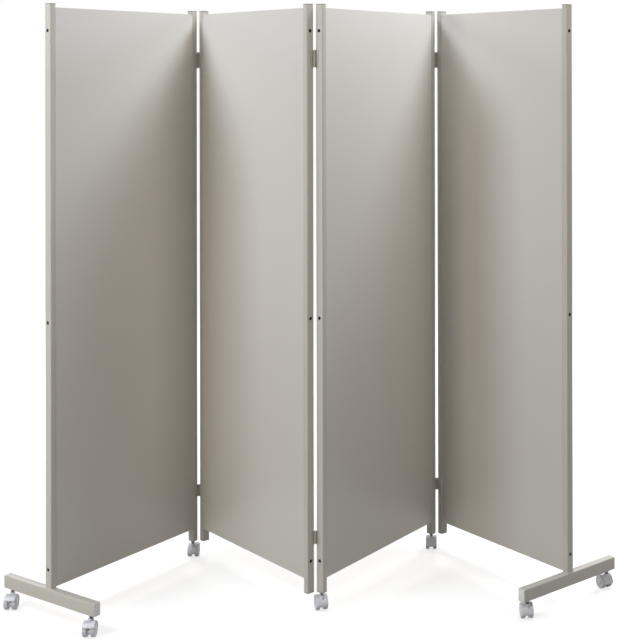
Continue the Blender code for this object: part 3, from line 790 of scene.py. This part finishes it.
bead = make_bead()
for name, (number, side) in FOOT_POSTS.items():
    body = f"panel_{number}"
    place = post_middle(number, side) @ Matrix.Translation((0, 0, FOOT_MIDDLE))
    add_piece(f"{name}_tube", foot, powder_coat, body, "paint", place, f"{name}_bar")
    add_piece(f"{name}_front_end", front_end, end_plastic, body, "cap", place, f"{name}_front_cap")
    add_piece(f"{name}_back_end", back_end, end_plastic, body, "cap", place, f"{name}_back_cap")
    add_piece(f"{name}_weld_bead", bead, powder_coat, body, "paint", post_middle(number, side))


# Casters
# Seven twin-wheel casters in pale grey nylon. The hood swivels on a steel stem that is pushed up
# into the tube, and its two wheels are pressed on one steel axle.
WHEEL_RADIUS = 0.020
WHEEL_NEAR = 0.006
WHEEL_FAR = 0.018
WHEEL_HUB_WALL = 0.0035
WHEEL_STEPS = 64
INNER_EDGE = 0.0010
TREAD_ROUND = 0.0025
TREAD_STEPS = 5
AXLE_BORE = 0.0023
CASTER_TRAIL = 0.013
HOOD_RADIUS = 0.0243
HOOD_HALF_WIDTH = 0.0175
HOOD_EDGE_ROUND = 0.0024
HOOD_EDGE_SEGMENTS = 5
HOOD_STEPS = 48
WEB_STEPS = 36
WEB_RADIUS = 0.0140
WEB_HALF_WIDTH = 0.0055
POCKET_RADIUS = 0.0215
CLOSED_ANGLE = -8
OPEN_ANGLE = 150
FULL_TURN = 360
BOSS_RADIUS = 0.0075
BOSS_TOP = 0.0270
BOSS_EASE = 0.0009
BOSS_CORNER = BOSS_EASE / 3
SOCKET_DEPTH = 0.0010
STEM_RADIUS = 0.0040
STEM_LOW = 0.0120
STEM_IN_TUBE = 0.026
COLLAR_RADIUS = 0.0065
COLLAR_THICKNESS = 0.0040
MOULD_EASE = 0.0004
CORE_WIDTH = 0.0046
CORE_CORNER = CORE_WIDTH / 3
CORE_HEIGHT = 0.0085
CORE_DEPTH = 0.0075
CORE_RISE = 0.0062
DISH = ((0.0160, 0.0), (0.0155, 0.0009), (0.0080, 0.0013), (0.0075, MOULD_EASE), (0.0068, 0.0), (0.0, 0.0))
CASTER_PANELS = {
    "left_back": 1,
    "left_front": 1,
    "left_valley": 1,
    "centre": 3,
    "right_valley": 3,
    "right_front": 4,
    "right_back": 4,
}

hood_nylon = make_finish(
    "pale_lavender_grey_nylon",
    shade=(0.73, 0.73, 0.79),
    roughness=0.34,
    cloud=40.0,
    depth=0.03,
    pebble=1500.0,
    relief=0.00003,
)
tread_nylon = make_finish(
    "grey_tread_nylon",
    shade=(0.63, 0.63, 0.68),
    roughness=0.50,
    cloud=60.0,
    depth=0.08,
    pebble=1500.0,
    relief=0.00005,
)
zinc = make_finish(
    "zinc_plated_steel",
    shade=(0.56, 0.56, 0.57),
    roughness=0.30,
    cloud=60.0,
    depth=0.10,
    pebble=2500.0,
    relief=0.00002,
    metallic=1.0,
)


def arc_points(radius, start, end, steps):
    """Points of an arc round the origin, its angles in degrees."""
    angles = [math.radians(start + (end - start) * step / steps) for step in range(steps + 1)]
    return [(radius * math.cos(angle), radius * math.sin(angle)) for angle in angles]


def make_hood():
    """A hood about its axle: the closed side and the boss for the stem lie towards +X."""
    outline = arc_points(HOOD_RADIUS, CLOSED_ANGLE, OPEN_ANGLE, HOOD_STEPS)
    outline += arc_points(WEB_RADIUS, OPEN_ANGLE, CLOSED_ANGLE + FULL_TURN, WEB_STEPS)
    shape = bmesh.new()
    shape.from_mesh(raise_outline("hood_shell", outline, -HOOD_HALF_WIDTH, HOOD_HALF_WIDTH))
    rims = []
    for edge in shape.edges:
        first, last = (corner.co for corner in edge.verts)
        if first.z == last.z and min(first.xy.length, last.xy.length) > POCKET_RADIUS:
            rims.append(edge)
    round_edges(shape, rims, HOOD_EDGE_ROUND, HOOD_EDGE_SEGMENTS)
    shell = mesh_from(shape, "hood_shell")
    shell.transform(face_along("-Y"))
    over_stem = Matrix.Translation((CASTER_TRAIL, 0, 0))
    boss_profile = [
        (0, WEB_RADIUS),
        (BOSS_RADIUS, WEB_RADIUS),
        (BOSS_RADIUS, BOSS_TOP - BOSS_EASE),
        (BOSS_RADIUS - BOSS_CORNER, BOSS_TOP - BOSS_CORNER),
        (BOSS_RADIUS - BOSS_EASE, BOSS_TOP),
        (0, BOSS_TOP),
    ]
    boss = spin_profile("stem_boss", boss_profile)
    boss.transform(over_stem)
    pocket_end = HOOD_HALF_WIDTH + CUT_OVERRUN
    pocket = round_bar("wheel_pocket", POCKET_RADIUS, WEB_HALF_WIDTH, pocket_end, WHEEL_STEPS)
    pockets = gather("wheel_pockets", [(pocket, face_along("+Y")), (pocket, face_along("-Y"))])
    stem_socket = round_bar("stem_socket", STEM_BORE, STEM_LOW - SOCKET_DEPTH, BOSS_TOP + CUT_OVERRUN)
    stem_socket.transform(over_stem)
    axle_bore = round_bar("axle_bore", AXLE_BORE, -WEB_HALF_WIDTH - CUT_OVERRUN, WEB_HALF_WIDTH + CUT_OVERRUN)
    axle_bore.transform(face_along("+Y"))
    core_outline = rounded_outline(CORE_HEIGHT, CORE_WIDTH, CORE_CORNER)
    core = raise_outline("moulding_core", core_outline, 0, CORE_DEPTH + CUT_OVERRUN)
    core.transform(face_along("-X", x=CORE_DEPTH - WEB_RADIUS, z=CORE_RISE))
    hood = machine("hood", shell, "UNION", [boss])
    hood = machine("hood", hood, "DIFFERENCE", [pockets])
    return machine("hood", hood, "DIFFERENCE", [stem_socket, axle_bore, core])


def make_wheel():
    """A wheel along Z: a rounded tread, a dished outer face with a hub, and a blind bore."""
    bore_end = WHEEL_FAR - WHEEL_HUB_WALL
    profile = [(0, bore_end), (AXLE_BORE, bore_end), (AXLE_BORE, WHEEL_NEAR)]
    profile += [(WHEEL_RADIUS - INNER_EDGE, WHEEL_NEAR), (WHEEL_RADIUS, WHEEL_NEAR + INNER_EDGE)]
    for step in range(TREAD_STEPS + 1):
        angle = step / TREAD_STEPS * math.pi / 2
        across = WHEEL_RADIUS - TREAD_ROUND * (1 - math.cos(angle))
        profile.append((across, WHEEL_FAR - TREAD_ROUND * (1 - math.sin(angle))))
    profile += [(radius, WHEEL_FAR - depth) for radius, depth in DISH]
    wheel = spin_profile("wheel", profile, WHEEL_STEPS)
    wheel.materials.append(hood_nylon)
    wheel.materials.append(tread_nylon)
    for face in wheel.polygons:
        if face.center.xy.length > WHEEL_RADIUS - TREAD_ROUND:
            face.material_index = 1
    return wheel


def make_stem():
    """A stem at its height over the floor, with its collar against the tube."""
    collar_top = MOUNT_HEIGHT - SEAT_GAP
    collar_low = collar_top - COLLAR_THICKNESS
    top = MOUNT_HEIGHT + STEM_IN_TUBE
    profile = [
        (0, WHEEL_RADIUS + STEM_LOW),
        (STEM_RADIUS, WHEEL_RADIUS + STEM_LOW),
        (STEM_RADIUS, collar_low),
        (COLLAR_RADIUS - MOULD_EASE, collar_low),
        (COLLAR_RADIUS, collar_low + MOULD_EASE),
        (COLLAR_RADIUS, collar_top - MOULD_EASE),
        (COLLAR_RADIUS - MOULD_EASE, collar_top),
        (STEM_RADIUS, collar_top),
        (STEM_RADIUS, top - MOULD_EASE),
        (STEM_RADIUS - MOULD_EASE, top),
        (0, top),
    ]
    return spin_profile("stem", profile)


hood_mesh = make_hood()
stem_mesh = make_stem()
left_wheel = make_wheel()
right_wheel = left_wheel.copy()
left_wheel.transform(face_along("+Y"))
right_wheel.transform(face_along("-Y"))
for name, number in CASTER_PANELS.items():
    swivel = Vector(joints[f"{name}_swivel"]["pos_m"])
    centre = Vector(joints[f"{name}_roll"]["pos_m"])
    ahead = swivel - centre
    axle_place = Matrix.Translation(centre) @ Matrix.Rotation(math.atan2(ahead.y, ahead.x), 4, "Z")
    stem_place = Matrix.Translation((swivel.x, swivel.y, 0))
    caster = f"{name}_caster"
    stem = f"{caster}_stem"
    # The stem's near-black is painted shade for the dark neck between the tube above and the hood.
    add_piece(f"{stem}_pin", stem_mesh, painted_shade_black_steel, f"panel_{number}", "steel", stem_place, stem)
    hood_body = f"{caster}_swivel"
    add_piece(f"{caster}_hood_shell", hood_mesh, hood_nylon, hood_body, "hood", axle_place, f"{caster}_hood")
    for side, mesh in (("left", left_wheel), ("right", right_wheel)):
        node = f"{caster}_{side}_wheel"
        add_piece(f"{node}_tyre", mesh, hood_nylon, f"{caster}_wheels", "wheel", axle_place, node)
    frame["nodes"][f"{caster}_axle"].data.materials[0] = zinc
